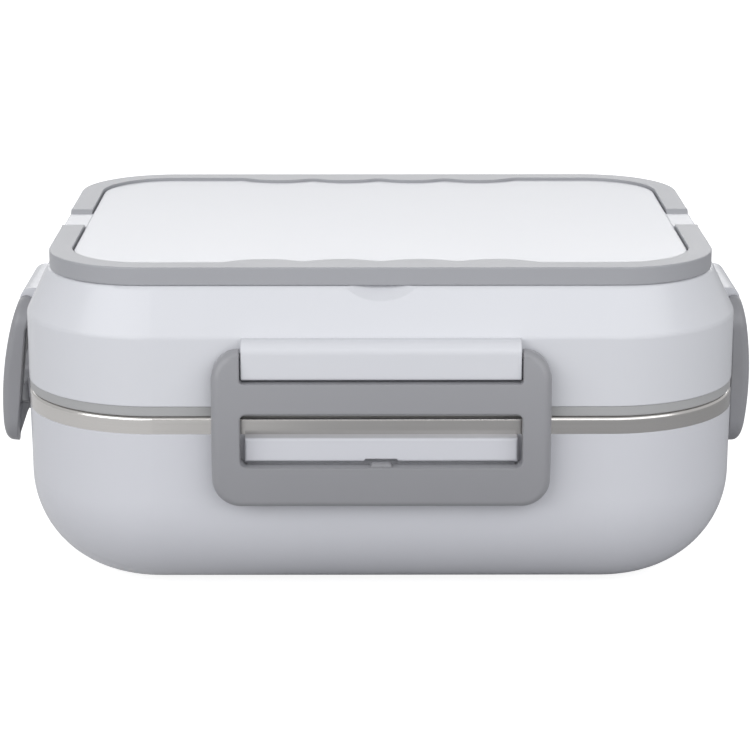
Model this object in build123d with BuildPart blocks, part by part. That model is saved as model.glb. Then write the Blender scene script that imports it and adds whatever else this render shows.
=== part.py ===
from build123d import *
import os
from math import atan2, degrees, radians, sqrt, tan

# An electric lunch box: a white heated base with a steel container in it, a lid that lifts off, four snap
# latches hung on the lid, and a ring-shaped carrying handle that folds up from the lid's top in two halves.
# Millimetres, X to the right, Y to the back, Z up. The origin is under the middle of the box, on the table.

# ---------------------------------------------------------------------------------------------- sizes
# Base shell
body_width = 222.0          # over the base's rim, left to right
body_depth = 170.0          # over the base's rim, front to back
body_corner = 42.0          # plan corner of the rim
base_height = 54.8          # flat bottom to rim
base_draft = 0.5            # degrees, the walls lean out towards the rim
base_round = 33.0           # the large round between wall and bottom
shell_wall = 2.6
foot_stand = 1.0            # the feet hold the bottom this far off the table

# Steel container
steel = 0.8                 # sheet thickness
band_height = 5.4           # the rim's turned-down edge, which shows as a band all round
band_edge_round = 1.3
container_inset = 9.0       # rim's edge to the container's wall
container_lift = 20.0       # container's underside above the base's bottom
container_round = 20.0      # between its wall and floor

# Well liner and what heats
liner_wall = 1.8
container_clearance = 1.2   # container to liner, wall and floor
lip_thickness = 2.0         # liner's lip, on the shell's rim and inside the steel band
lip_gap = 0.3
plate_width = 92.0          # the heating plate's raised pad
plate_depth = 66.0
plate_corner = 8.0
plate_flange = 6.0          # the plate's edge under the liner's floor, all round
plate_thickness = 3.0
plate_fit = 0.3             # pad to liner, and pad to container
plate_edge_round = 0.8
plate_screw_inset = 3.0     # screws in from the flange's edge
heater_length = 60.0
heater_width = 12.0
heater_thickness = 4.5
heater_spacing = 36.0
heater_edge_round = 0.5
strap_width = 8.0
strap_thickness = 0.8
strap_foot = 7.0            # each end of a strap that lies on the plate
strap_screw_bite = 2.8      # thread in the plate
thermostat_radius = 8.0
thermostat_height = 7.0
thermostat_x = -16.0
thermostat_cap = 1.2        # the thin metal cap that touches the plate
bracket_width = 5.0
bracket_gap = 0.3
bracket_foot = 6.5
clip_gap = 0.1
lead_radius = 0.5
lead_length = 4.0
fuse_radius = 2.2
fuse_length = 12.0
fuse_x = 24.0
fuse_y = -29.5
screw_radius = 1.5          # M3 shank
screw_head_radius = 2.8
screw_head_height = 1.8
screw_recess_share = 0.6    # cross recess, as a share of the head
screw_slot_share = 0.25     # half the width of its arms, as a share of their reach
screw_fit = 0.05            # shank in its pilot hole
wire_radius = 0.9
wire_bend = 4.0
wire_side = 12.0            # how far a wire swings out past the heaters' ends

# Feet, and the screws under them
foot_radius = 6.3
foot_sink = 1.4             # foot sunk into the shell's bottom
foot_fit = 0.2
foot_x = 60.0
foot_y = 36.0
boss_radius = 8.0
boss_height = 8.5           # above the base's bottom, where the liner's posts land
base_screw_seat = 4.6
base_screw_length = 10.0
post_radius = 4.0
hole_clearance = 0.3        # shank in a through hole

# Power inlet, in a pocket low in the rear wall
pocket_width = 40.0
pocket_height = 11.0
pocket_level = 11.4         # its middle, above the base's bottom
pocket_inset = 16.0         # rim's edge to the pocket's panel
pocket_wall = 2.0
inlet_x = -4.0
inlet_bezel_width = 23.0
inlet_bezel_height = 10.4
inlet_bezel_thickness = 1.2
inlet_body_width = 19.6
inlet_body_height = 8.8
inlet_body_length = 15.0
inlet_lobe_radius = 3.8     # the figure-of-eight socket
inlet_pin_pitch = 8.6
inlet_pin_radius = 1.2
inlet_pin_length = 9.0
inlet_cavity_depth = 11.5
inlet_fit = 0.2
inlet_corner_share = 0.25   # its rounded corners, as a share of the height
socket_waist = 0.6          # the socket's height between its lobes, as a share
blade_width = 2.8
blade_thickness = 0.8
blade_length = 6.0
lens_x = 13.5
lens_radius = 1.5
lens_flange = 0.8
lens_dome_share = 0.9

# Lid
lid_wall = 2.4              # its outside is flush with the base's rim
lid_wall_height = 21.3      # up to the crease
shoulder_height = 14.2
shoulder_inset = 7.0
crease_round = 3.0
ledge_round = 1.5
platform_height = 4.8       # raised panel inside the handle
platform_round = 0.6
scoop_width = 22.0          # finger scoop under the handle, front and back, measured at the ledge
scoop_drop = 4.5            # how far it reaches down the shoulder's slope
scoop_radius = 30.0         # of the ball that shapes it
scoop_reach = 3.2           # how far it runs in under the handle

# Gasket and inner panel
gasket_height = 3.2
gasket_setback = 0.2        # behind the lid's wall
gasket_bead = 4.0
gasket_web = 2.0
gasket_rib = 2.0
gasket_rib_inset = 6.0
gasket_edge_round = 0.5
gasket_tongue_height = 3.0
gasket_fit = 0.2
panel_thickness = 1.8
panel_drop = 6.0            # the panel's middle hangs into the container's mouth
mouth_clearance = 1.5       # panel to container
panel_upstand = 1.6
lid_rib_width = 2.0
lid_rib_spacing = 50.0

# Handle, two halves of one ring
handle_width = 206.2
handle_depth = 154.2
handle_corner = 30.7
handle_arm = 7.1            # side arms
handle_bar = 7.6            # front and back bars
handle_thickness = 5.55
handle_seat_gap = 0.05
handle_edge_round = 0.4
platform_gap = 0.4          # handle to the raised panel
bulge_pitch = 23.5
bulge_count = 4
bulge_depth = 4.5
bulge_radius = 20.0
bulge_blend = 4.0
bridge_half = 10.3          # white blocks between the halves' ends
bridge_drop = 0.4           # under the raised panel's top
bridge_gap = 0.35

# Pivots of handles and latches
pivot_radius = 1.2
pivot_fit = 0.08
pivot_length = 4.0
pivot_end_gap = 0.4
boss_depth = 5.0            # the handle's pivot bosses, inside the raised panel's edge
boss_half = 17.0

# Latches
latch_half_wide = 50.9      # front and rear
latch_half_narrow = 27.5    # left and right
latch_stile = 8.6           # frame's sides, from its end to the window
latch_reach = 21.2          # its lower edge under the base's rim
latch_tab_gap = 0.7         # catch tab's underside to the window's lower edge
window_over_rim = 8.5       # the window's upper edge over the base's rim
notch_floor_gap = 0.7       # pivot block's underside to the notch's floor
latch_bulge = 5.2           # over the rim, where the face stands out furthest
latch_bulge_out = 8.9       # distances out from the lid's wall
latch_top_out = 5.9
latch_tip_out = 6.6
latch_back_out = 2.9
panel_back_out = 4.7
pocket_out = 5.8            # hollows in its back reach this far out
latch_wall = 2.0
latch_lower_corner = 8.8
latch_upper_corner = 9.5
latch_face_round = 2.5
window_corner = 2.0
gusset_width = 2.0
gusset_height = 11.0
nib_width = 6.6             # at the middle of the lower bar, up into a notch in the tab
nib_height = 0.9
nib_depth = 2.6
nib_angle = 60.0
nib_gap = 2.0
pivot_out = 3.95
pivot_drop = 4.7            # pivot under the lid's crease
horn_radius = 2.4
notch_gap = 0.5             # horn to pivot block
notch_corner = 0.7
block_height = 11.6
block_out = 6.0
block_top_round = 3.8       # along its upper outer edge
block_low_round = 0.8
left_latch_ajar = 5.8       # degrees, the left latch hangs a little open

# Catch tabs on the base
tab_height = 7.4
tab_out = 4.4               # from the lid's wall
tab_corner = 0.8
tab_window_gap = 1.2        # tab's end to window's end
tab_wall = 2.0
lift_gap = 0.3              # every latch clears its tab by this when the lid lifts

same_place = 0.01           # two measures this close count as equal

# ------------------------------------------------------------------------------------ worked-out levels
bottom = foot_stand
rim = bottom + base_height
band_top = rim + band_height
lid_bottom = band_top + gasket_height
tab_low = rim - tab_height
crease = lid_bottom + lid_wall_height
ledge = crease + shoulder_height
platform_top = ledge + platform_height
container_bottom = bottom + container_lift
liner_floor_top = container_bottom - container_clearance
liner_bottom = liner_floor_top - liner_wall
liner_inset = container_inset - container_clearance - liner_wall
plate_bottom = liner_bottom - plate_thickness
plate_top = container_bottom - plate_fit / 2
heater_bottom = plate_bottom - heater_thickness
pivot_level = crease - pivot_drop
handle_low = ledge + handle_seat_gap
handle_top = handle_low + handle_thickness
handle_axis_z = handle_low + handle_thickness / 2
handle_axis_y = bridge_half + bridge_gap + handle_thickness / 2
bore_radius = pivot_radius + pivot_fit
plate_screw_x = plate_width / 2 + plate_flange - plate_screw_inset
plate_screw_y = plate_depth / 4
bracket_hole = strap_thickness + (bracket_foot - strap_thickness) / 2
bracket_screw_reach = thermostat_radius + bracket_gap + bracket_hole
bracket_screw_xs = [thermostat_x + end * bracket_screw_reach for end in (-1, 1)]
clip_screw_y = fuse_y - fuse_radius - clip_gap - bracket_hole
strap_screw_reach = heater_width / 2 + strap_thickness + strap_foot / 2
strap_screw_places = [
    (0, row * heater_spacing / 2 + end * strap_screw_reach) for row in (-1, 1) for end in (-1, 1)
]
small_screw_places = [*strap_screw_places, *[(x, 0) for x in bracket_screw_xs], (fuse_x, clip_screw_y)]


os.makedirs("parts", exist_ok=True)


# -------------------------------------------------------------------------------------------- helpers
def save(piece, name):
    """Labels a finished piece and writes it."""
    piece.label = name
    export_step(piece, f"parts/{name}.step")


def slab(width, depth, corner, low, high, mode=Mode.ADD, taper=0.0):
    """Adds a block of rounded-rectangle plan between two heights to the part being built."""
    with BuildSketch(Plane.XY.offset(low)) as outline:
        RectangleRounded(width, depth, corner)
    extrude(outline.sketch, amount=high - low, taper=taper, mode=mode)


def body_slab(inset, low, high, mode=Mode.ADD, taper=0.0):
    """A slab whose outline lies the given distance inside the rim. The lid's wall is flush with the rim."""
    slab(body_width - 2 * inset, body_depth - 2 * inset, body_corner - inset, low, high, mode, taper)


def post(x, y, radius, low, high, mode=Mode.ADD):
    """Adds an upright cylinder between two heights to the part being built."""
    with BuildSketch(Plane.XY.offset(low)) as circle:
        with Locations((x, y)):
            Circle(radius)
    extrude(circle.sketch, amount=high - low, mode=mode)


def box(x_range, y_range, z_range, mode=Mode.ADD):
    """Adds a plain block between pairs of X, Y and Z to the part being built."""
    with BuildSketch(Plane.XY.offset(z_range[0])) as outline:
        with Locations((sum(x_range) / 2, sum(y_range) / 2)):
            Rectangle(x_range[1] - x_range[0], y_range[1] - y_range[0])
    extrude(outline.sketch, amount=z_range[1] - z_range[0], mode=mode)


class Side:
    """One side of the box: the lid's wall plane there, and the latch that hangs on it."""

    def __init__(self, name, angle, wall, latch_half):
        self.name = name
        self.out = Vector(0, -1, 0).rotate(Axis.Z, angle)
        self.along = Vector(1, 0, 0).rotate(Axis.Z, angle)
        self.origin = self.out * wall
        self.latch_half = latch_half
        self.window_half = latch_half - latch_stile
        self.block_half = self.window_half - notch_gap
        self.tab_half = self.window_half - tab_window_gap
        # x along the wall, y up, z out
        self.face = Plane(self.origin, x_dir=self.along, z_dir=self.out)
        # x out, y up, seen along the wall
        self.section = Plane(self.origin, x_dir=self.out, z_dir=-self.along)

    def block(self, half, low, high, near, far, mode=Mode.ADD, corner=0.0):
        """Adds a block: half its length along the wall, two heights, two distances out from the wall."""
        with BuildSketch(self.face.offset(near)) as outline:
            with Locations((0, (low + high) / 2)):
                if corner:
                    RectangleRounded(2 * half, high - low, corner)
                else:
                    Rectangle(2 * half, high - low)
        extrude(outline.sketch, amount=far - near, mode=mode)


sides = [
    Side("front", 0, body_depth / 2, latch_half_wide),
    Side("right", 90, body_width / 2, latch_half_narrow),
    Side("rear", 180, body_depth / 2, latch_half_wide),
    Side("left", 270, body_width / 2, latch_half_narrow),
]
corners = [(x, y) for x in (-1, 1) for y in (-1, 1)]

# ----------------------------------------------------------------------------------------- base shell
# The base's form, and the same form one wall further in: drafted walls and one large round at the bottom.
def base_solid(inset):
    """A solid of the base's form, its walls and bottom the given distance inside the outside."""
    shrink = inset + (base_height - inset) * tan(radians(base_draft))
    with BuildPart() as form:
        slab(
            body_width - 2 * shrink,
            body_depth - 2 * shrink,
            body_corner - shrink,
            bottom + inset,
            rim,
            taper=-base_draft,
        )
        fillet(form.faces().sort_by(Axis.Z)[0].edges(), base_round - inset)
    return form.part


base_outside = base_solid(0)
base_inside = base_solid(shell_wall)

pocket_low = bottom + pocket_level - pocket_height / 2
pocket_high = pocket_low + pocket_height
pocket_panel = body_depth / 2 - pocket_inset
with BuildPart() as pocket_walls:
    add(base_outside)
    box(
        (-pocket_width / 2 - pocket_wall, pocket_width / 2 + pocket_wall),
        (pocket_panel - pocket_wall, body_depth / 2),
        (pocket_low - pocket_wall, pocket_high + pocket_wall),
        Mode.INTERSECT,
    )

with BuildPart() as base_shell:
    add(base_outside)
    add(base_inside, mode=Mode.SUBTRACT)
    add(pocket_walls.part)
    for x, y in corners:
        post(x * foot_x, y * foot_y, boss_radius, bottom, bottom + boss_height)
        post(x * foot_x, y * foot_y, foot_radius + foot_fit, bottom, bottom + foot_sink, Mode.SUBTRACT)
        head_hole = screw_head_radius + hole_clearance
        shank_hole = screw_radius + hole_clearance
        post(x * foot_x, y * foot_y, head_hole, bottom, bottom + base_screw_seat, Mode.SUBTRACT)
        post(x * foot_x, y * foot_y, shank_hole, bottom, bottom + boss_height, Mode.SUBTRACT)
    box(
        (-pocket_width / 2, pocket_width / 2),
        (pocket_panel, body_depth / 2),
        (pocket_low, pocket_high),
        Mode.SUBTRACT,
    )
    # openings in the pocket's panel for the inlet's body and the lamp
    inlet_level = bottom + pocket_level
    box(
        (inlet_x - inlet_body_width / 2 - inlet_fit, inlet_x + inlet_body_width / 2 + inlet_fit),
        (pocket_panel - pocket_wall, pocket_panel),
        (inlet_level - inlet_body_height / 2 - inlet_fit, inlet_level + inlet_body_height / 2 + inlet_fit),
        Mode.SUBTRACT,
    )
    with BuildSketch(Plane((lens_x, pocket_panel, inlet_level), x_dir=(1, 0, 0), z_dir=(0, 1, 0))):
        Circle(lens_radius + inlet_fit)
    extrude(amount=-pocket_wall, mode=Mode.SUBTRACT)
    # catch tabs: a hollow ledge under the rim on each side, with a small nib at its middle
    for side in sides:
        side.block(side.tab_half, tab_low, rim, -shell_wall / 2, tab_out)
        tab_face = base_shell.faces().sort_by(Axis(side.origin, side.out))[-1]
        fillet(tab_face.edges(), tab_corner)
        with BuildSketch(side.face.offset(tab_out)):
            with Locations((0, tab_low + nib_height / 2)):
                Trapezoid(nib_width + 2 * nib_gap, nib_height, nib_angle)
        extrude(amount=-tab_wall, mode=Mode.SUBTRACT)
        # two hollows in its underside, between three walls
        pocket_length = (2 * side.tab_half - 3 * tab_wall) / 2
        with BuildSketch(side.face):
            with Locations((0, (tab_low + rim - tab_wall) / 2)):
                with GridLocations(pocket_length + tab_wall, 0, 2, 1):
                    Rectangle(pocket_length, rim - tab_wall - tab_low)
        extrude(amount=tab_out - tab_wall, mode=Mode.SUBTRACT)
save(base_shell.part, "base_shell")

# ----------------------------------------------------------------------------------------- well liner
# The well hangs by a lip on the shell's rim, and its four posts land on the shell's bosses.
liner_round = container_round + container_clearance + liner_wall
with BuildPart() as liner_tub:
    body_slab(liner_inset, liner_bottom, rim + lip_thickness)
    fillet(liner_tub.faces().sort_by(Axis.Z)[0].edges(), liner_round)
    offset(amount=-liner_wall, openings=liner_tub.faces().sort_by(Axis.Z)[-1])

base_screw_top = bottom + base_screw_seat + base_screw_length
with BuildPart() as well_liner:
    body_slab(steel + lip_gap, rim, rim + lip_thickness)
    body_slab(liner_inset, rim, rim + lip_thickness, Mode.SUBTRACT)
    add(liner_tub.part)
    slab(
        plate_width + 2 * plate_fit,
        plate_depth + 2 * plate_fit,
        plate_corner + plate_fit,
        liner_bottom,
        liner_floor_top,
        Mode.SUBTRACT,
    )
    for x, y in corners:
        post(x * foot_x, y * foot_y, post_radius, bottom + boss_height, liner_bottom)
        pilot = screw_radius + screw_fit
        post(x * foot_x, y * foot_y, pilot, bottom + boss_height, base_screw_top, Mode.SUBTRACT)
    # pilot holes for the plate's screws, through the floor's edge
    for x, y in corners:
        post(x * plate_screw_x, y * plate_screw_y, pilot, liner_bottom, liner_floor_top, Mode.SUBTRACT)
save(well_liner.part, "well_liner")


def screws(places, radius, head_radius, head_height, length, seat):
    """Pan-head screws with a cross recess, heads below, on every place; the seat is under the head."""
    with BuildPart() as group:
        for x, y in places:
            post(x, y, radius, seat, seat + length)
            post(x, y, head_radius, seat - head_height, seat)
            reach = head_radius * screw_recess_share
            slot = reach * screw_slot_share
            for half_x, half_y in ((reach, slot), (slot, reach)):
                box(
                    (x - half_x, x + half_x),
                    (y - half_y, y + half_y),
                    (seat - head_height, seat - head_height / 2),
                    Mode.SUBTRACT,
                )
    return group.part


save(
    screws(
        [(x * foot_x, y * foot_y) for x, y in corners],
        screw_radius,
        screw_head_radius,
        screw_head_height,
        base_screw_length,
        bottom + base_screw_seat,
    ),
    "base_screws",
)

# Rubber feet, pushed into the recesses over the screws' heads.
with BuildPart() as rubber_feet:
    for x, y in corners:
        post(x * foot_x, y * foot_y, foot_radius, 0, bottom + foot_sink)
    fillet(rubber_feet.faces().group_by(Axis.Z)[0].edges(), foot_stand / 2)
save(rubber_feet.part, "rubber_feet")

# --------------------------------------------------------------------------------- what heats and guards
# The heating plate: a pad that comes up through the liner's floor, and a flange screwed under it.
with BuildPart() as heating_plate:
    slab(
        plate_width + 2 * plate_flange,
        plate_depth + 2 * plate_flange,
        plate_corner + plate_flange,
        plate_bottom,
        liner_bottom,
    )
    slab(plate_width, plate_depth, plate_corner, liner_bottom, plate_top)
    fillet(heating_plate.faces().sort_by(Axis.Z)[-1].edges(), plate_edge_round)
    for x, y in corners:
        hole = screw_radius + hole_clearance
        post(x * plate_screw_x, y * plate_screw_y, hole, plate_bottom, liner_bottom, Mode.SUBTRACT)
    for x, y in small_screw_places:
        post(x, y, screw_radius + screw_fit, plate_bottom, plate_bottom + strap_screw_bite, Mode.SUBTRACT)
save(heating_plate.part, "heating_plate")

save(
    screws(
        [(x * plate_screw_x, y * plate_screw_y) for x, y in corners],
        screw_radius,
        screw_head_radius,
        screw_head_height,
        plate_thickness + liner_wall,
        plate_bottom,
    ),
    "plate_screws",
)

# Two heater packs flat against the plate, each under a sprung strap with a screw at either end.
with BuildPart() as ptc_heaters:
    for y in (-1, 1):
        middle = y * heater_spacing / 2
        box(
            (-heater_length / 2, heater_length / 2),
            (middle - heater_width / 2, middle + heater_width / 2),
            (heater_bottom, plate_bottom),
        )
    fillet(ptc_heaters.edges().filter_by(Axis.X), heater_edge_round)
save(ptc_heaters.part, "ptc_heaters")

with BuildPart() as heater_straps:
    for y in (-1, 1):
        middle = y * heater_spacing / 2
        inner = heater_width / 2
        outer = inner + strap_thickness + strap_foot
        for low, high, near, far in (
            (heater_bottom - strap_thickness, heater_bottom, 0, inner + strap_thickness),
            (heater_bottom, plate_bottom, inner, inner + strap_thickness),
            (plate_bottom - strap_thickness, plate_bottom, inner, outer),
        ):
            for direction in (-1, 1):
                span = sorted((middle + direction * near, middle + direction * far))
                box((-strap_width / 2, strap_width / 2), span, (low, high))
    for x, y in strap_screw_places:
        low = plate_bottom - strap_thickness
        post(x, y, screw_radius + hole_clearance, low, plate_bottom, Mode.SUBTRACT)
save(heater_straps.part, "heater_straps")

save(
    screws(
        small_screw_places,
        screw_radius,
        screw_head_radius,
        screw_head_height,
        strap_thickness + strap_screw_bite,
        plate_bottom - strap_thickness,
    ),
    "strap_screws",
)

# The thermostat: a round body whose thin metal cap presses on the plate, with a blade out of either side.
thermostat_low = plate_bottom - thermostat_height
blade_low = thermostat_low + blade_thickness
with BuildPart() as thermostat:
    post(thermostat_x, 0, thermostat_radius, thermostat_low, plate_bottom - thermostat_cap)
    post(thermostat_x, 0, thermostat_radius - thermostat_cap, plate_bottom - thermostat_cap, plate_bottom)
    box(
        (thermostat_x - blade_width / 2, thermostat_x + blade_width / 2),
        (-thermostat_radius - blade_length, thermostat_radius + blade_length),
        (blade_low, blade_low + blade_thickness),
    )
save(thermostat.part, "thermostat")

# Its bracket hooks under the body and is held by a screw at each end.
bracket_across = (-bracket_width / 2, bracket_width / 2)
with BuildPart() as thermostat_bracket:
    arm = thermostat_radius + bracket_gap
    arm_outer = arm + strap_thickness
    box(
        (thermostat_x - arm_outer, thermostat_x + arm_outer),
        bracket_across,
        (thermostat_low - strap_thickness, thermostat_low),
    )
    for direction in (-1, 1):
        upright = sorted((thermostat_x + direction * arm, thermostat_x + direction * arm_outer))
        foot = sorted((thermostat_x + direction * arm, thermostat_x + direction * (arm + bracket_foot)))
        box(upright, bracket_across, (thermostat_low, plate_bottom))
        box(foot, bracket_across, (plate_bottom - strap_thickness, plate_bottom))
    low = plate_bottom - strap_thickness
    for x in bracket_screw_xs:
        post(x, 0, screw_radius + hole_clearance, low, plate_bottom, Mode.SUBTRACT)
save(thermostat_bracket.part, "thermostat_bracket")

# The thermal fuse lies against the plate's front edge, in a clip with one screw.
fuse_level = plate_bottom - fuse_radius
with BuildPart() as thermal_fuse:
    with BuildSketch(Plane((fuse_x, fuse_y, fuse_level), x_dir=(0, 1, 0), z_dir=(1, 0, 0))):
        Circle(fuse_radius)
    extrude(amount=fuse_length / 2, both=True)
    with BuildSketch(Plane((fuse_x, fuse_y, fuse_level), x_dir=(0, 1, 0), z_dir=(1, 0, 0))):
        Circle(lead_radius)
    extrude(amount=fuse_length / 2 + lead_length, both=True)
save(thermal_fuse.part, "thermal_fuse")

clip_inner = fuse_radius + clip_gap
clip_outer = clip_inner + strap_thickness
clip_depth = 2 * fuse_radius + clip_gap
clip_across = (fuse_x - bracket_width / 2, fuse_x + bracket_width / 2)
with BuildPart() as fuse_clip:
    box(
        clip_across,
        (fuse_y - clip_outer, fuse_y + clip_outer),
        (plate_bottom - clip_depth - strap_thickness, plate_bottom),
    )
    box(
        clip_across,
        (fuse_y - clip_inner - bracket_foot, fuse_y),
        (plate_bottom - strap_thickness, plate_bottom),
    )
    box(
        clip_across,
        (fuse_y - clip_inner, fuse_y + clip_inner),
        (plate_bottom - clip_depth, plate_bottom),
        Mode.SUBTRACT,
    )
    clip_hole = screw_radius + hole_clearance
    post(fuse_x, clip_screw_y, clip_hole, plate_bottom - strap_thickness, plate_bottom, Mode.SUBTRACT)
save(fuse_clip.part, "fuse_clip")

# ---------------------------------------------------------------------------------------- power inlet
# A two-pin inlet snapped into the pocket's panel, its bezel outside and its body running in under the well.
panel_plane = Plane((inlet_x, pocket_panel, inlet_level), x_dir=(-1, 0, 0), z_dir=(0, 1, 0))
with BuildPart() as power_inlet:
    with BuildSketch(panel_plane):
        RectangleRounded(inlet_bezel_width, inlet_bezel_height, inlet_bezel_height * inlet_corner_share)
    extrude(amount=inlet_bezel_thickness)
    with BuildSketch(panel_plane):
        RectangleRounded(inlet_body_width, inlet_body_height, inlet_body_height * inlet_corner_share)
    extrude(amount=-inlet_body_length)
    with BuildSketch(panel_plane.offset(inlet_bezel_thickness)):
        with GridLocations(inlet_pin_pitch, 0, 2, 1):
            Circle(inlet_lobe_radius)
        Rectangle(inlet_pin_pitch, 2 * inlet_lobe_radius * socket_waist)
    extrude(amount=-inlet_cavity_depth, mode=Mode.SUBTRACT)
    with BuildSketch(panel_plane):
        with GridLocations(inlet_pin_pitch, 0, 2, 1):
            Circle(inlet_pin_radius + screw_fit)
    extrude(amount=-inlet_body_length, mode=Mode.SUBTRACT)
save(power_inlet.part, "power_inlet")

# Each contact is a round pin in the socket and a flat blade behind the body.
pin_length = inlet_body_length + inlet_bezel_thickness - inlet_cavity_depth + inlet_pin_length
with BuildPart() as inlet_pins:
    with BuildSketch(panel_plane.offset(-inlet_body_length)):
        with GridLocations(inlet_pin_pitch, 0, 2, 1):
            Circle(inlet_pin_radius)
    extrude(amount=pin_length)
    fillet(inlet_pins.faces().sort_by(Axis.Y)[-2:].edges(), inlet_pin_radius / 2)
    with BuildSketch(panel_plane.offset(-inlet_body_length)):
        with GridLocations(inlet_pin_pitch, 0, 2, 1):
            Rectangle(blade_thickness, blade_width)
    extrude(amount=-blade_length)
save(inlet_pins.part, "inlet_pins")

# The lamp's lens: a small dome in the pocket's panel, with a flange behind it.
lens_plane = Plane((lens_x, pocket_panel - pocket_wall, inlet_level), x_dir=(-1, 0, 0), z_dir=(0, 1, 0))
with BuildPart() as indicator_lens:
    with BuildSketch(lens_plane):
        Circle(lens_radius)
    extrude(amount=pocket_wall + lens_radius)
    fillet(indicator_lens.faces().sort_by(Axis.Y)[-1].edges(), lens_radius * lens_dome_share)
    with BuildSketch(lens_plane):
        Circle(lens_radius + lens_flange)
    extrude(amount=-lens_flange)
save(indicator_lens.part, "indicator_lens")

# Lead wires, each of straight runs joined by bends: inlet to thermostat, thermostat to fuse, fuse to the
# front heater, front heater to rear heater, and rear heater back to the inlet.
blade_end = pocket_panel - inlet_body_length - blade_length
blade_middle = blade_low + blade_thickness / 2
thermostat_end = thermostat_radius + blade_length
fuse_end = fuse_length / 2 + lead_length
heater_end = heater_length / 2
heater_row = heater_spacing / 2
heater_middle = (heater_bottom + plate_bottom) / 2
wire_out = heater_end + wire_side
wire_routes = (
    (
        (inlet_x - inlet_pin_pitch / 2, blade_end, inlet_level),
        (inlet_x - inlet_pin_pitch / 2, blade_end - wire_bend, inlet_level),
        (inlet_x - inlet_pin_pitch, blade_end - 3 * wire_bend, blade_middle),
        (thermostat_x, thermostat_end + 2 * wire_bend, blade_middle),
        (thermostat_x, thermostat_end, blade_middle),
    ),
    (
        (thermostat_x, -thermostat_end, blade_middle),
        (thermostat_x, fuse_y + wire_bend, blade_middle),
        (thermostat_x + wire_bend, fuse_y, blade_middle),
        (wire_bend, fuse_y, blade_middle),
        (fuse_x - fuse_end - wire_bend, fuse_y, fuse_level),
        (fuse_x - fuse_end, fuse_y, fuse_level),
    ),
    (
        (fuse_x + fuse_end, fuse_y, fuse_level),
        (wire_out, fuse_y, fuse_level),
        (wire_out, -heater_row, heater_middle),
        (heater_end, -heater_row, heater_middle),
    ),
    (
        (-heater_end, -heater_row, heater_middle),
        (-wire_out, -heater_row, heater_middle),
        (-wire_out, heater_row, heater_middle),
        (-heater_end, heater_row, heater_middle),
    ),
    (
        (heater_end, heater_row, heater_middle),
        (wire_out, heater_row, heater_middle),
        (wire_out, heater_row + 2 * wire_bend, heater_middle),
        (heater_end / 2, blade_end - 2 * wire_bend, inlet_level),
        (inlet_x + inlet_pin_pitch / 2, blade_end - wire_bend, inlet_level),
        (inlet_x + inlet_pin_pitch / 2, blade_end, inlet_level),
    ),
)
with BuildPart() as lead_wires:
    for route in wire_routes:
        with BuildLine() as path:
            FilletPolyline(*route, radius=wire_bend)
        with BuildSketch(Plane(path.line @ 0, z_dir=path.line % 0)):
            Circle(wire_radius)
        sweep(path=path.line)
save(lead_wires.part, "lead_wires")

# ------------------------------------------------------------------------------------- food container
# A pressed steel tub. Its rim runs out over the well's lip and turns down to stand on the base's rim.
with BuildPart() as container_tub:
    body_slab(container_inset, container_bottom, band_top)
    fillet(container_tub.faces().sort_by(Axis.Z)[0].edges(), container_round)
    offset(amount=-steel, openings=container_tub.faces().sort_by(Axis.Z)[-1])

with BuildPart() as food_container:
    body_slab(0, rim, band_top)
    fillet(food_container.faces().sort_by(Axis.Z)[-1].edges(), band_edge_round)
    body_slab(steel, rim, band_top - steel, Mode.SUBTRACT)
    body_slab(container_inset, rim, band_top, Mode.SUBTRACT)
    add(container_tub.part)
save(food_container.part, "food_container")

# ------------------------------------------------------------------------------------------------ lid
# The outer lid: an upright wall, a sloping shoulder, a ledge for the handle and a raised panel inside it.
shoulder_angle = degrees(atan2(shoulder_inset, shoulder_height))
bulge_middle = handle_depth / 2 - handle_bar - bulge_depth + bulge_radius


def ring_opening(shrink):
    """A sketch of the handle's inner outline, with its finger bulges, shrunk all round."""
    with BuildSketch(Plane.XY.offset(ledge)) as opening:
        RectangleRounded(
            handle_width - 2 * (handle_arm + shrink),
            handle_depth - 2 * (handle_bar + shrink),
            handle_corner - handle_arm - shrink,
        )
        with GridLocations(bulge_pitch, 2 * bulge_middle, bulge_count, 2):
            Circle(bulge_radius + shrink, mode=Mode.SUBTRACT)
        reach = bulge_pitch * (bulge_count + 1) / 2
        fillet([corner for corner in opening.vertices() if abs(corner.X) < reach], bulge_blend - shrink)
    return opening.sketch


with BuildPart() as lid_outer:
    body_slab(0, lid_bottom, crease)
    body_slab(0, crease, ledge, taper=shoulder_angle)
    creases = lid_outer.edges().filter_by(lambda edge: abs(edge.center().Z - crease) < same_place)
    fillet(creases, crease_round)
    fillet(lid_outer.faces().sort_by(Axis.Z)[-1].edges(), ledge_round)
    extrude(ring_opening(platform_gap), amount=platform_height)
    fillet(lid_outer.faces().sort_by(Axis.Z)[-1].edges(), platform_round)

# What is hollow inside: the same wall and shoulder one wall further in, and the raised panel's inside, less
# the thick places behind the finger scoops.
hollow_crease = crease - lid_wall / 2
with BuildPart() as lid_hollow:
    body_slab(lid_wall, lid_bottom, hollow_crease)
    body_slab(lid_wall, hollow_crease, ledge - lid_wall, taper=shoulder_angle)
    slab(
        handle_width - 2 * (handle_arm + platform_gap + lid_wall),
        handle_depth - 2 * (handle_bar + platform_gap + bulge_depth + lid_wall),
        handle_corner - handle_arm - platform_gap - lid_wall,
        ledge - lid_wall,
        platform_top - lid_wall,
    )
    for side in (sides[0], sides[2]):
        side.block(
            scoop_width / 2 + lid_wall,
            ledge - scoop_drop - lid_wall,
            ledge,
            -shoulder_inset - scoop_reach - lid_wall,
            0,
            Mode.SUBTRACT,
        )

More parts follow.
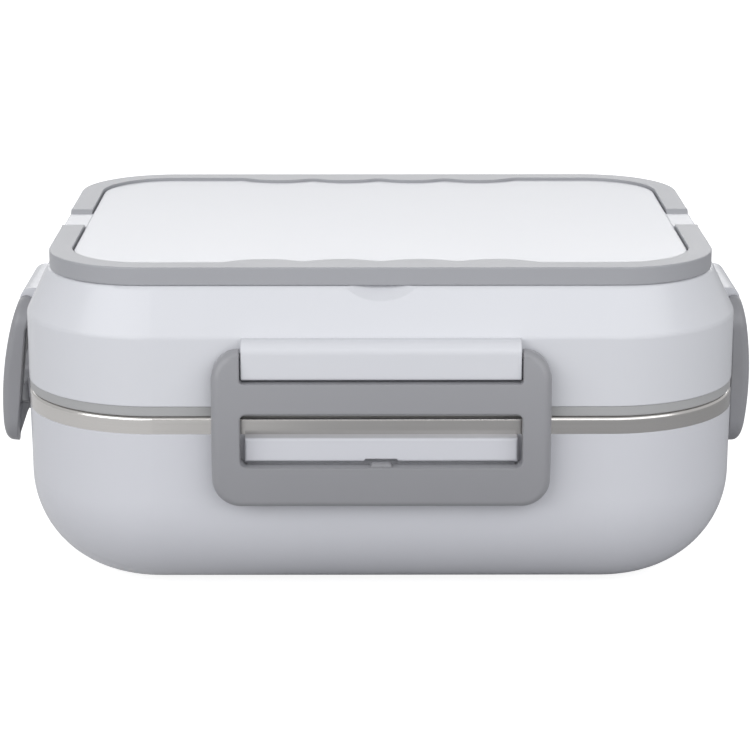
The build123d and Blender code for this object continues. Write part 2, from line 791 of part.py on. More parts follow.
# The ball that shapes a finger scoop meets the shoulder's slope in a circle.
scoop_circle = (scoop_width**2 / 4 + scoop_drop**2) / (2 * scoop_drop)
scoop_above = scoop_circle - scoop_drop
scoop_off = sqrt(scoop_radius**2 - scoop_circle**2)
slope = sqrt(shoulder_inset**2 + shoulder_height**2)
scoop_out = -shoulder_inset + (shoulder_height * scoop_off - shoulder_inset * scoop_above) / slope
scoop_level = ledge + (shoulder_height * scoop_above + shoulder_inset * scoop_off) / slope

with BuildPart() as lid_shell:
    add(lid_outer.part)
    add(lid_hollow.part, mode=Mode.SUBTRACT)
    # ribs down the inside of the wall, which stand on the inner panel's upstand
    rib_low = lid_bottom + gasket_tongue_height + gasket_fit
    rib_reach = lid_wall + gasket_fit + gasket_rib + panel_upstand
    for side in sides:
        with BuildSketch(side.face.offset(-rib_reach)):
            with Locations((0, (rib_low + hollow_crease) / 2)):
                with GridLocations(lid_rib_spacing, 0, 2, 1):
                    Rectangle(lid_rib_width, hollow_crease - rib_low)
        extrude(amount=rib_reach - lid_wall / 2)
    # pivot blocks for the latches
    for side in sides:
        with BuildSketch(side.section) as block_end:
            with Locations((block_out / 2 - lid_wall / 4, crease - block_height / 2)):
                Rectangle(block_out + lid_wall / 2, block_height)
            fillet(block_end.vertices().group_by(Axis.X)[-1].sort_by(Axis.Y)[-1], block_top_round)
            fillet(block_end.vertices().group_by(Axis.X)[-1].sort_by(Axis.Y)[0], block_low_round)
        extrude(amount=side.block_half, both=True)
        bore_depth = pivot_length + pivot_end_gap - notch_gap
        for end in (-1, 1):
            with BuildSketch(side.section.offset(end * side.block_half)):
                with Locations((pivot_out, pivot_level)):
                    Circle(bore_radius)
            extrude(amount=-end * bore_depth, mode=Mode.SUBTRACT)
    # bridge blocks between the ends of the handle's halves, and bosses inside for the handle's pivots
    for direction in (-1, 1):
        panel_edge = handle_width / 2 - handle_arm - platform_gap
        across = sorted((direction * (panel_edge - platform_round), direction * handle_width / 2))
        box(across, (-bridge_half, bridge_half), (ledge - ledge_round, platform_top - bridge_drop))
        boss = sorted((direction * (panel_edge - boss_depth), direction * (panel_edge - lid_wall / 2)))
        box(boss, (-boss_half, boss_half), (ledge - lid_wall / 2, platform_top - lid_wall / 2))
        arm_inner = direction * (handle_width / 2 - handle_arm)
        with BuildSketch(Plane((arm_inner, 0, handle_axis_z), x_dir=(0, 1, 0), z_dir=(-direction, 0, 0))):
            with GridLocations(2 * handle_axis_y, 0, 2, 1):
                Circle(bore_radius)
        extrude(amount=pivot_length + pivot_end_gap, mode=Mode.SUBTRACT)
    # finger scoops in the shoulder, under the handle's two bars
    for side in (sides[0], sides[2]):
        with Locations(side.origin + side.out * scoop_out + Vector(0, 0, scoop_level)):
            Sphere(scoop_radius, mode=Mode.SUBTRACT)
save(lid_shell.part, "lid_shell")

# The inner panel closes the lid from below. Its middle drops into the container's mouth, and its outer edge
# turns up to carry the lid's ribs.
panel_edge_inset = lid_wall + 2 * gasket_fit + gasket_rib
mouth_inset = container_inset + steel + mouth_clearance
with BuildPart() as lid_inner_panel:
    body_slab(mouth_inset, lid_bottom - panel_drop, lid_bottom + panel_thickness)
    fillet(lid_inner_panel.faces().sort_by(Axis.Z)[0].edges(), panel_drop / 2)
    body_slab(panel_edge_inset, lid_bottom, rib_low)
    body_slab(panel_edge_inset + panel_upstand, lid_bottom + panel_thickness, rib_low, Mode.SUBTRACT)
    inner = mouth_inset + panel_thickness
    body_slab(inner, lid_bottom - panel_drop + panel_thickness, rib_low, Mode.SUBTRACT)
save(lid_inner_panel.part, "lid_inner_panel")

# The seal: a bead that shows outside, a web under the panel, a rib that presses on the container's rim, and
# a tongue up between the lid's wall and the panel's upstand.
with BuildPart() as lid_gasket:
    body_slab(gasket_setback, band_top, lid_bottom)
    fillet(lid_gasket.faces().sort_by(Axis.Z)[0].edges(), gasket_edge_round)
    body_slab(gasket_setback + gasket_bead, band_top, lid_bottom - gasket_web, Mode.SUBTRACT)
    body_slab(mouth_inset, band_top, lid_bottom, Mode.SUBTRACT)
    body_slab(gasket_rib_inset, band_top, lid_bottom - gasket_web)
    body_slab(gasket_rib_inset + gasket_rib, band_top, lid_bottom, Mode.SUBTRACT)
    body_slab(gasket_rib_inset + gasket_rib, lid_bottom - gasket_web, lid_bottom)
    tongue_inset = lid_wall + gasket_fit
    body_slab(tongue_inset, lid_bottom, lid_bottom + gasket_tongue_height)
    body_slab(tongue_inset + gasket_rib, lid_bottom, lid_bottom + gasket_tongue_height, Mode.SUBTRACT)
    body_slab(mouth_inset, band_top, lid_bottom, Mode.SUBTRACT)
save(lid_gasket.part, "lid_gasket")


# ---------------------------------------------------------------------------------------------- handle
def handle_half(direction):
    """One half of the ring, in front for -1 and behind for 1: a bar, two arms and a pivot on each arm."""
    with BuildPart() as half:
        slab(handle_width, handle_depth, handle_corner, handle_low, handle_top)
        for face in (half.faces().sort_by(Axis.Z)[0], half.faces().sort_by(Axis.Z)[-1]):
            fillet(face.edges(), handle_edge_round)
        opening = Pos(0, 0, handle_low - ledge) * ring_opening(0)
        extrude(opening, amount=handle_thickness, mode=Mode.SUBTRACT)
        keep = sorted((direction * handle_axis_y, direction * handle_depth))
        box((-handle_width, handle_width), keep, (handle_low, handle_top), Mode.INTERSECT)
        # rounded arm ends and the pivots that point in from them
        for end in (-1, 1):
            pivot_start = (end * (handle_width / 2 - handle_arm), direction * handle_axis_y, handle_axis_z)
            arm_end = Plane(pivot_start, x_dir=(0, 1, 0), z_dir=(end, 0, 0))
            with BuildSketch(arm_end):
                Circle(handle_thickness / 2)
            extrude(amount=handle_arm)
            with BuildSketch(arm_end):
                Circle(pivot_radius)
            extrude(amount=-pivot_length)
    return half.part


save(handle_half(-1), "handle_front")
save(handle_half(1), "handle_rear")


# --------------------------------------------------------------------------------------------- latches
def latch(side, ajar=0.0):
    """A snap latch: a curved frame with a window, two horns that straddle the lid's pivot block, and a lower
    bar that snaps under the catch tab. It is made closed, and turned open by the angle it hangs ajar."""
    half = side.latch_half
    low = rim - latch_reach
    high = pivot_level + horn_radius
    window_floor = tab_low - latch_tab_gap
    window_top = rim + window_over_rim
    notch_floor = crease - block_height - notch_floor_gap
    back_half = side.tab_half + lift_gap
    face_start = (latch_top_out, high)
    face_middle = (latch_bulge_out, rim + latch_bulge)
    face_end = (latch_tip_out, low)
    with BuildPart() as frame:
        # front view: rounded corners
        with BuildSketch(side.face) as outline:
            with Locations((0, (low + high) / 2)):
                Rectangle(2 * half, high - low)
            fillet(outline.vertices().group_by(Axis.Y)[0], latch_lower_corner)
            fillet(outline.vertices().group_by(Axis.Y)[-1], latch_upper_corner)
        extrude(amount=2 * latch_bulge_out)
        # side view: the curved face, with a broad round all along its edge
        with BuildSketch(side.section):
            with BuildLine():
                ThreePointArc(face_start, face_middle, face_end)
                Polyline(face_end, (0, low), (0, high), face_start)
            make_face()
        extrude(amount=half, both=True, mode=Mode.INTERSECT)
        face = frame.faces().filter_by(GeomType.CYLINDER).sort_by(SortBy.AREA)[-1]
        fillet(face.edges(), latch_face_round)
        # side view: the straight back, and a round end about the pivot
        with BuildSketch(side.section):
            with BuildLine():
                Polyline(
                    (latch_back_out, notch_floor),
                    (latch_back_out, low),
                    (2 * latch_bulge_out, low),
                    (2 * latch_bulge_out, pivot_level),
                    (pivot_out + horn_radius, pivot_level),
                )
                ThreePointArc(
                    (pivot_out + horn_radius, pivot_level),
                    (pivot_out, high),
                    (pivot_out - horn_radius, pivot_level),
                )
                Line((pivot_out - horn_radius, pivot_level), (latch_back_out, notch_floor))
            make_face()
        extrude(amount=half, both=True, mode=Mode.INTERSECT)
        # window, and the notch that the pivot block stands in
        with BuildSketch(side.face) as openings:
            with Locations((0, (window_floor + window_top) / 2)):
                RectangleRounded(2 * side.window_half, window_top - window_floor, window_corner)
            with Locations((0, notch_floor + half / 2)):
                Rectangle(2 * side.window_half, half)
            at_floor = [corner for corner in openings.vertices() if abs(corner.Y - notch_floor) < same_place]
            chamfer(at_floor, notch_corner)
        extrude(amount=2 * latch_bulge_out, mode=Mode.SUBTRACT)
        # thinned from behind: lower bar, upper bar and stiles
        side.block(back_half, low, window_floor, 0, panel_back_out, Mode.SUBTRACT)
        bar_half = side.window_half - latch_wall
        side.block(bar_half, window_top + latch_wall, notch_floor - latch_wall, 0, pocket_out, Mode.SUBTRACT)
        with BuildSketch(side.face):
            with Locations((0, (window_floor + notch_floor) / 2)):
                with GridLocations(half + side.window_half, 0, 2, 1):
                    Rectangle(latch_stile - 2 * latch_wall, notch_floor - window_floor)
        extrude(amount=pocket_out, mode=Mode.SUBTRACT)
        # a gusset at each end of the lower bar, just past the tab's ends
        for end in (-1, 1):
            with BuildSketch(side.section.offset(end * (back_half + gusset_width / 2))):
                Polygon(
                    (panel_back_out, window_floor),
                    (lift_gap, window_floor),
                    (latch_back_out, window_floor - gusset_height),
                    (panel_back_out, window_floor - gusset_height),
                    align=None,
                )
            extrude(amount=gusset_width / 2, both=True)
        # the nib at the middle of the lower bar
        with BuildSketch(side.face.offset(panel_back_out)):
            with Locations((0, window_floor + nib_height / 2)):
                Trapezoid(nib_width, nib_height, nib_angle)
        extrude(amount=nib_depth)
        # pivots, pointing in from the horns
        for end in (-1, 1):
            with BuildSketch(side.section.offset(end * side.window_half)):
                with Locations((pivot_out, pivot_level)):
                    Circle(pivot_radius)
            extrude(amount=-end * pivot_length)
    hinge = Axis(side.origin + side.out * pivot_out + Vector(0, 0, pivot_level), side.along)
    return frame.part.rotate(hinge, -ajar)


for side in sides:
    save(latch(side, left_latch_ajar if side.name == "left" else 0.0), f"latch_{side.name}")
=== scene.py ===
# An electric lunch box, dressed over its CAD frame: a white heated base, a steel food container, a lid that
# lifts off, four snap latches and a ring-shaped carrying handle in two halves. Everything is in metres.
from math import pi, radians

import bpy
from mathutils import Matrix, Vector


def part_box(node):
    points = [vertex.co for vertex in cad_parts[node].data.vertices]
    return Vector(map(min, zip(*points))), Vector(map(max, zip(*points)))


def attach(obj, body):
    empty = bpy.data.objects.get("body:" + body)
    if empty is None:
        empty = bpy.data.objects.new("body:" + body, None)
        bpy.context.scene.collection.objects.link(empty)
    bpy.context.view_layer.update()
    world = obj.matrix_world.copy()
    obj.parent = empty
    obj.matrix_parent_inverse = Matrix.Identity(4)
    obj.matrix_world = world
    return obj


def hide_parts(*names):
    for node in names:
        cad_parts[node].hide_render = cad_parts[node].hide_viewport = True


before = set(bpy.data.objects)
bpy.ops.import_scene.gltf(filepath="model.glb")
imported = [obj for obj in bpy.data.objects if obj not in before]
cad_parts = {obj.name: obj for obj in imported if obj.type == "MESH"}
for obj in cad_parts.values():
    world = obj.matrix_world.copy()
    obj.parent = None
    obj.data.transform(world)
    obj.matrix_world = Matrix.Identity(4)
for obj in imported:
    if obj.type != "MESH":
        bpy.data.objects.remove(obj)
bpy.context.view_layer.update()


# ------------------------------------------------------------------------------- camera, table and studio
# The camera stands where the photograph's did: a long lens a little above the box, almost square to its
# front. The box stands on white paper, in the soft even light of a few large lamps.
lens_length = 119.2  # millimetres, as the sensor's width is
sensor_width = 36.0
nearest_seen = 0.05
farthest_seen = 20.0
camera_place = (-0.00420, -0.80442, 0.26827)
camera_down = 15.09  # degrees, as the turn to the right is
camera_right = 0.188
camera_data = bpy.data.cameras.new("camera")
camera_data.lens = lens_length
camera_data.sensor_width = sensor_width
camera_data.clip_start = nearest_seen
camera_data.clip_end = farthest_seen
camera = bpy.data.objects.new("camera", camera_data)
camera.location = camera_place
camera.rotation_euler = (radians(90.0 - camera_down), 0.0, radians(-camera_right))
bpy.context.scene.collection.objects.link(camera)
bpy.context.scene.camera = camera
bpy.context.scene.view_settings.view_transform = "Standard"


def new_material(name):
    """A fresh material, its node tree and the tree's Principled shader."""
    material = bpy.data.materials.new(name)
    material.use_nodes = True
    return material, material.node_tree, material.node_tree.nodes["Principled BSDF"]


def feed(tree, value, socket):
    """Gives a node's socket its value: another node's output, or a plain number or colour."""
    if isinstance(value, bpy.types.NodeSocket):
        tree.links.new(value, socket)
    else:
        socket.default_value = value


def number(tree, operation, *values):
    """The result of a Math node."""
    node = tree.nodes.new("ShaderNodeMath")
    node.operation = operation
    for value, socket in zip(values, node.inputs):
        feed(tree, value, socket)
    return node.outputs["Value"]


def parts_of(tree, vector):
    """The X, Y and Z of a vector."""
    node = tree.nodes.new("ShaderNodeSeparateXYZ")
    tree.links.new(vector, node.inputs["Vector"])
    return node.outputs


def board(name, corners, material):
    """A flat sheet of the studio, which isn't part of the box."""
    mesh = bpy.data.meshes.new(name)
    mesh.from_pydata(corners, [], [(0, 1, 2, 3)])
    mesh.materials.append(material)
    sheet = bpy.data.objects.new(name, mesh)
    bpy.context.scene.collection.objects.link(sheet)


# The table is a pale seamless sheet. Straight to the camera it also glows, so that it reads as white paper
# while the box's own shadow stays on it. Mirrors see a fainter glow, which fades out from left to right.
table_reach = 6
paper_colour = (0.46, 0.46, 0.465, 1)
camera_glow = 0.88
mirror_glow = 0.34
fade_start = -0.09  # along X
fade_end = -0.02
paper, tree, shader = new_material("seamless_paper")
shader.inputs["Base Color"].default_value = paper_colour
shader.inputs["Roughness"].default_value = 0.9
shader.inputs["Emission Color"].default_value = (1, 1, 1, 1)
ray = tree.nodes.new("ShaderNodeLightPath")
place = tree.nodes.new("ShaderNodeTexCoord")
fade = tree.nodes.new("ShaderNodeMapRange")
fade.inputs["From Min"].default_value = fade_start
fade.inputs["From Max"].default_value = fade_end
fade.inputs["To Min"].default_value = mirror_glow
fade.inputs["To Max"].default_value = 0.0
tree.links.new(parts_of(tree, place.outputs["Object"])["X"], fade.inputs["Value"])
mirrored = number(tree, "MULTIPLY", ray.outputs["Is Glossy Ray"], fade.outputs["Result"])
glow = number(tree, "MULTIPLY_ADD", ray.outputs["Is Camera Ray"], camera_glow, mirrored)
tree.links.new(glow, shader.inputs["Emission Strength"])
table_corners = [(x * table_reach, y * table_reach, 0) for x, y in ((-1, -1), (1, -1), (1, 1), (-1, 1))]
board("table", table_corners, paper)


def backdrop(tree, colour, strength):
    """An even light from all round."""
    node = tree.nodes.new("ShaderNodeBackground")
    node.inputs["Color"].default_value = colour
    node.inputs["Strength"].default_value = strength
    return node.outputs["Background"]


# The room is a soft even white. Seen directly it is the white behind the photograph, and mirrors see it
# about two thirds as bright. The light that it sheds on the box is dimmer, and a little cool.
room_colour = (0.95, 0.965, 1.0, 1)
room_strength = 0.44
mirror_share = 0.35  # of the full white, mixed into the dimmer room
world = bpy.data.worlds.new("white_room")
world.use_nodes = True
bpy.context.scene.world = world
tree = world.node_tree
tree.nodes.clear()
ray = tree.nodes.new("ShaderNodeLightPath")
mirrored = number(tree, "MULTIPLY", ray.outputs["Is Glossy Ray"], mirror_share)
direct = number(tree, "MAXIMUM", ray.outputs["Is Camera Ray"], ray.outputs["Is Transmission Ray"])
mix = tree.nodes.new("ShaderNodeMixShader")
tree.links.new(number(tree, "MAXIMUM", direct, mirrored), mix.inputs["Fac"])
tree.links.new(backdrop(tree, room_colour, room_strength), mix.inputs[1])
tree.links.new(backdrop(tree, (1, 1, 1, 1), 1.0), mix.inputs[2])
out = tree.nodes.new("ShaderNodeOutputWorld")
tree.links.new(mix.outputs["Shader"], out.inputs["Surface"])


def softbox(name, place, aim, size, watts, colour=(1, 1, 1)):
    """A rectangular studio light at a place, turned to face the point it is aimed at."""
    data = bpy.data.lights.new(name, "AREA")
    data.shape = "RECTANGLE"
    data.size, data.size_y = size
    data.energy = watts
    data.color = colour
    light = bpy.data.objects.new(name, data)
    light.location = place
    light.rotation_euler = (Vector(aim) - Vector(place)).to_track_quat("-Z", "Y").to_euler()
    bpy.context.scene.collection.objects.link(light)


# Two large lamps in front, the left one stronger, a fill high behind, and far back a strip that the lid's
# flat top mirrors to the camera.
cool = (0.97, 0.98, 1.0)
box_middle = (0, 0, 0.05)
lid_top = (0, 0, 0.10)
softbox("left_key", (-1.0, -1.15, 0.8), box_middle, size=(1.7, 1.1), watts=11.0, colour=cool)
softbox("right_key", (0.8, -1.2, 0.8), box_middle, size=(1.7, 1.1), watts=8.4, colour=cool)
softbox("rear_fill", (-0.2, 1.35, 1.0), box_middle, size=(1.8, 0.9), watts=3.0)
softbox("back_strip", (0.0, 1.6, 0.55), lid_top, size=(2.4, 0.16), watts=3.0)


# ------------------------------------------------------------------------------------------- base shell
# The lower half of the box, injection moulded in white glossy plastic. Its mould was polished, so the skin
# has only the faint waviness of the plastic's shrinking, and a fine uneven haze from handling.
def noise(tree, place, scale, detail):
    """The value of a Noise texture."""
    node = tree.nodes.new("ShaderNodeTexNoise")
    node.inputs["Detail"].default_value = detail
    tree.links.new(place, node.inputs["Vector"])
    feed(tree, scale, node.inputs["Scale"])
    return node.outputs["Fac"]


def mixed(tree, kind, share, first, second):
    """A mix of two numbers or two colours: the first where the share is 0, the second where it is 1."""
    node = tree.nodes.new("ShaderNodeMix")
    node.data_type = kind
    feed(tree, share, node.inputs["Factor"])
    feed(tree, first, node.inputs["A"])
    feed(tree, second, node.inputs["B"])
    return node.outputs["Result"]


def drifting(tree, pattern, reach, middle):
    """A number that drifts about its middle as a pattern goes from 0 to 1, by half the reach either way."""
    return number(tree, "MULTIPLY_ADD", number(tree, "SUBTRACT", pattern, 0.5), reach, middle)


def new_group(name, settings, results):
    """An empty node group that takes a place and named settings, and gives named results."""
    group = bpy.data.node_groups.new(name, "ShaderNodeTree")
    face = group.interface
    face.new_socket("Place", in_out="INPUT", socket_type="NodeSocketVector")
    for setting, value in settings.items():
        face.new_socket(setting, in_out="INPUT", socket_type="NodeSocketFloat").default_value = value
    for result in results:
        face.new_socket(result, in_out="OUTPUT", socket_type="NodeSocketFloat")
    return group, group.nodes.new("NodeGroupInput").outputs, group.nodes.new("NodeGroupOutput").inputs


def skin_group():
    """Node group: the faint waves, grain and haze of a moulded surface, from its place in the object."""
    settings = {"Wave size": 90.0, "Grain size": 1800.0, "Grain share": 0.3, "Gloss": 0.25, "Haze": 0.06}
    group, given, results = new_group("moulded_skin", settings, ("Height", "Roughness", "Mottle"))
    waves = noise(group, given["Place"], given["Wave size"], detail=2.0)
    grain = noise(group, given["Place"], given["Grain size"], detail=3.0)
    haze = noise(group, given["Place"], scale=22.0, detail=4.0)
    height = mixed(group, "FLOAT", given["Grain share"], waves, grain)
    group.links.new(height, results["Height"])
    group.links.new(drifting(group, haze, given["Haze"], given["Gloss"]), results["Roughness"])
    group.links.new(haze, results["Mottle"])
    return group


moulded_skin = skin_group()
skin_bump = 0.25


def place_group(tree, group, place, settings):
    """Puts a node group in a material's tree with settings of its own, and gives its results."""
    node = tree.nodes.new("ShaderNodeGroup")
    node.node_tree = group
    tree.links.new(place, node.inputs["Place"])
    for setting, value in settings.items():
        node.inputs[setting].default_value = value
    return node.outputs


def finish_surface(tree, shader, colours, tone, pattern, bump_strength, depth):
    """Feeds a shader: its colour goes from the first to the second with the tone, and a pattern gives its
    roughness and the height of its bumps. Gives the Bump node."""
    first, second = colours
    tree.links.new(mixed(tree, "RGBA", tone, (*first, 1), (*second, 1)), shader.inputs["Base Color"])
    tree.links.new(pattern["Roughness"], shader.inputs["Roughness"])
    bump = tree.nodes.new("ShaderNodeBump")
    bump.inputs["Strength"].default_value = bump_strength
    bump.inputs["Distance"].default_value = depth
    tree.links.new(pattern["Height"], bump.inputs["Height"])
    tree.links.new(bump.outputs["Normal"], shader.inputs["Normal"])
    return bump


def moulded(name, colour, darker, gloss, haze, grain_share, depth, grain_size=1800.0, edge=0.0005):
    """A moulded plastic or rubber: its colour drifts a little towards the darker one, and its skin is never
    quite even. The depth is that of its bumps, and light falls on its sharp edges as if they were rounded
    by the edge radius."""
    material, tree, shader = new_material(name)
    place = tree.nodes.new("ShaderNodeTexCoord").outputs["Object"]
    settings = {"Gloss": gloss, "Haze": haze, "Grain share": grain_share, "Grain size": grain_size}
    skin = place_group(tree, moulded_skin, place, settings)
    bump = finish_surface(tree, shader, (colour, darker), skin["Mottle"], skin, skin_bump, depth)
    softened = tree.nodes.new("ShaderNodeBevel")
    softened.samples = 4
    softened.inputs["Radius"].default_value = edge
    tree.links.new(softened.outputs["Normal"], bump.inputs["Normal"])
    return material


def dress(node, material):
    """Gives a CAD node its finish."""
    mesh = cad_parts[node].data
    mesh.materials.clear()
    mesh.materials.append(material)


# Painted shade: the base is the same white plastic as the lid, but its colour is set a little darker than
# the lid's, for the dimmer light on the box's lower half.
base_white_painted_shade = moulded(
    "base_white_painted_shade",
    colour=(0.765, 0.768, 0.80),
    darker=(0.75, 0.753, 0.79),
    gloss=0.24,
    haze=0.05,
    grain_share=0.2,
    depth=0.00004,
)
dress("base_shell", base_white_painted_shade)


# ------------------------------------------------------------------------------------------ rubber feet
# Four feet moulded in dark rubber and pressed into recesses over the screws. The face that stands on the
# table has raised rings, so that the box doesn't slide.
def growing_tree(name, sizes, material):
    """An empty Geometry Nodes tree that takes points, named sizes and a material, and gives a mesh."""
    tree = bpy.data.node_groups.new(name, "GeometryNodeTree")
    face = tree.interface
    face.new_socket("Geometry", in_out="INPUT", socket_type="NodeSocketGeometry")
    for size in sizes:
        face.new_socket(size, in_out="INPUT", socket_type="NodeSocketFloat")
    face.new_socket(material, in_out="INPUT", socket_type="NodeSocketMaterial")
    face.new_socket("Geometry", in_out="OUTPUT", socket_type="NodeSocketGeometry")
    return tree, tree.nodes.new("NodeGroupInput").outputs


def upward(tree, rise):
    """A vector that points up by a rise."""
    node = tree.nodes.new("ShaderNodeCombineXYZ")
    tree.links.new(rise, node.inputs["Z"])
    return node.outputs["Vector"]


def disc(tree, radius, height, around, side_rows, rings):
    """A disc about the Z axis, whose flat faces are divided into rings."""
    node = tree.nodes.new("GeometryNodeMeshCylinder")
    node.fill_type = "TRIANGLE_FAN"
    node.inputs["Vertices"].default_value = around
    node.inputs["Side Segments"].default_value = side_rows
    node.inputs["Fill Segments"].default_value = rings
    tree.links.new(radius, node.inputs["Radius"])
    tree.links.new(height, node.inputs["Depth"])
    return node.outputs["Mesh"]


def raise_underside(tree, mesh, height, level, rise):
    """Lifts each point of a disc's lower face by a rise of its own. The level is the points' own Z."""
    just_above_it = -0.49  # of the height, from the disc's middle
    under = tree.nodes.new("FunctionNodeCompare")
    under.operation = "LESS_THAN"
    tree.links.new(level, under.inputs["A"])
    tree.links.new(number(tree, "MULTIPLY", height, just_above_it), under.inputs["B"])
    shaped = tree.nodes.new("GeometryNodeSetPosition")
    tree.links.new(mesh, shaped.inputs["Geometry"])
    tree.links.new(under.outputs["Result"], shaped.inputs["Selection"])
    tree.links.new(upward(tree, rise), shaped.inputs["Offset"])
    return shaped.outputs["Geometry"]


def stand_on_points(tree, given, shape, material):
    """Ends a tree: the shape stands on every point and takes the material."""
    spread = tree.nodes.new("GeometryNodeInstanceOnPoints")
    tree.links.new(given["Geometry"], spread.inputs["Points"])
    tree.links.new(shape, spread.inputs["Instance"])
    real = tree.nodes.new("GeometryNodeRealizeInstances")
    tree.links.new(spread.outputs["Instances"], real.inputs["Geometry"])
    finish = tree.nodes.new("GeometryNodeSetMaterial")
    tree.links.new(real.outputs["Geometry"], finish.inputs["Geometry"])
    tree.links.new(given[material], finish.inputs["Material"])
    out = tree.nodes.new("NodeGroupOutput")
    tree.links.new(finish.outputs["Geometry"], out.inputs["Geometry"])


def rings_tree():
    """Geometry Nodes: a round foot with rings under it, set on every point."""
    tree, given = growing_tree("ringed_feet", ("Radius", "Height", "Ring pitch", "Ring depth"), "Rubber")
    block = disc(tree, given["Radius"], given["Height"], around=48, side_rows=3, rings=24)
    # each point's distance from the foot's middle
    position = tree.nodes.new("GeometryNodeInputPosition").outputs["Position"]
    flat = tree.nodes.new("ShaderNodeVectorMath")
    flat.operation = "MULTIPLY"
    flat.inputs[1].default_value = (1, 1, 0)
    tree.links.new(position, flat.inputs[0])
    away = tree.nodes.new("ShaderNodeVectorMath")
    away.operation = "LENGTH"
    tree.links.new(flat.outputs["Vector"], away.inputs[0])
    # grooves in a cosine wave, the first of them at the middle
    turns = number(tree, "DIVIDE", away.outputs["Value"], given["Ring pitch"])
    wave = number(tree, "COSINE", number(tree, "MULTIPLY", turns, 2 * pi))
    groove = tree.nodes.new("ShaderNodeMapRange")
    groove.inputs["From Min"].default_value = -1.0
    groove.inputs["From Max"].default_value = 1.0
    tree.links.new(wave, groove.inputs["Value"])
    tree.links.new(given["Ring depth"], groove.inputs["To Max"])
    level = parts_of(tree, position)["Z"]
    ringed = raise_underside(tree, block, given["Height"], level, groove.outputs["Result"])
    stand_on_points(tree, given, ringed, "Rubber")
    return tree


def grow(name, tree, places, settings):
    """Runs a Geometry Nodes tree on a set of points, and keeps what it makes as a plain mesh."""
    mesh = bpy.data.meshes.new(f"{name}_places")
    mesh.from_pydata(places, [], [])
    seeds = bpy.data.objects.new(f"{name}_places", mesh)
    bpy.context.scene.collection.objects.link(seeds)
    modifier = seeds.modifiers.new("grow", "NODES")
    modifier.node_group = tree
    for socket in tree.interface.items_tree:
        if socket.in_out == "INPUT" and socket.name in settings:
            modifier[socket.identifier] = settings[socket.name]
    graph = bpy.context.evaluated_depsgraph_get()
    made = bpy.data.meshes.new_from_object(seeds.evaluated_get(graph), depsgraph=graph)
    bpy.data.objects.remove(seeds)
    piece = bpy.data.objects.new(name, made)
    bpy.context.scene.collection.objects.link(piece)
    return piece


foot_rubber = moulded(
    "foot_rubber",
    colour=(0.075, 0.075, 0.08),
    darker=(0.055, 0.055, 0.06),
    gloss=0.62,
    haze=0.12,
    grain_share=0.7,
    depth=0.00008,
)
foot_radius = 0.0063
foot_low, foot_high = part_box("rubber_feet")
foot_x = foot_high[0] - foot_radius
foot_y = foot_high[1] - foot_radius
foot_level = (foot_low[2] + foot_high[2]) / 2
foot_places = [(x * foot_x, y * foot_y, foot_level) for x in (-1, 1) for y in (-1, 1)]
foot_settings = {
    "Radius": foot_radius,
    "Height": foot_high[2] - foot_low[2],
    "Ring pitch": 0.0021,
    "Ring depth": 0.00035,
    "Rubber": foot_rubber,
}
feet = grow("ringed_feet", rings_tree(), foot_places, foot_settings)
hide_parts("rubber_feet")
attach(feet, "base")


# ----------------------------------------------------------------------------------------- heating plate
# A plate cast in aluminium and machined flat on top, so that the container's floor lies on it all over. The
# cutter left fine straight lines across the pad.
def brushing_group():
    """Node group: fine lines along one direction, with their height, tone and roughness."""
    settings = {"Line size": 1.0, "Gloss": 0.25, "Spread": 0.12}
    broad_share = 0.4  # of the tone that comes from broad patches and not from the lines
    group, given, results = new_group("brushed_lines", settings, ("Height", "Roughness", "Tone"))
    fine = noise(group, given["Place"], given["Line size"], detail=4.0)
    broad = noise(group, given["Place"], scale=0.12, detail=2.0)
    group.links.new(fine, results["Height"])
    tone = mixed(group, "FLOAT", broad_share, fine, broad)
    group.links.new(tone, results["Tone"])
    group.links.new(drifting(group, tone, given["Spread"], given["Gloss"]), results["Roughness"])
    return group


brushed_lines = brushing_group()
line_bump = 0.3


def metal(name, colour, darker, gloss, spread, depth, stretch):
    """A metal with fine lines: the stretch says how tightly they lie along X, Y and Z."""
    material, tree, shader = new_material(name)
    shader.inputs["Metallic"].default_value = 1.0
    place = tree.nodes.new("ShaderNodeTexCoord")
    along = tree.nodes.new("ShaderNodeMapping")
    along.inputs["Scale"].default_value = stretch
    tree.links.new(place.outputs["Object"], along.inputs["Vector"])
    lines = place_group(tree, brushed_lines, along.outputs["Vector"], {"Gloss": gloss, "Spread": spread})
    finish_surface(tree, shader, (colour, darker), lines["Tone"], lines, line_bump, depth)
    return material


plate_aluminium = metal(
    "plate_aluminium",
    colour=(0.80, 0.80, 0.81),
    darker=(0.66, 0.66, 0.67),
    gloss=0.32,
    spread=0.2,
    depth=0.00004,
    stretch=(40, 2600, 40),
)
dress("heating_plate", plate_aluminium)


# -------------------------------------------------------------------- heaters, straps and thermostat
# Two heating packs wrapped in amber film, each pressed against the plate by a strap of spring steel. A round
# thermostat in a bracket and a fuse in a clip guard them. All of it is screwed up into the plate from below.
heater_film = moulded(
    "heater_film",
    colour=(0.62, 0.33, 0.07),
    darker=(0.50, 0.24, 0.04),
    gloss=0.3,
    haze=0.15,
    grain_share=0.15,
    depth=0.0003,
)
dress("ptc_heaters", heater_film)
strap_steel = metal(
    "strap_steel",
    colour=(0.58, 0.57, 0.56),
    darker=(0.46, 0.45, 0.45),
    gloss=0.3,
    spread=0.15,
    depth=0.00003,
    stretch=(1800, 60, 60),
)
for name in ("heater_straps", "thermostat_bracket", "fuse_clip"):
    dress(name, strap_steel)


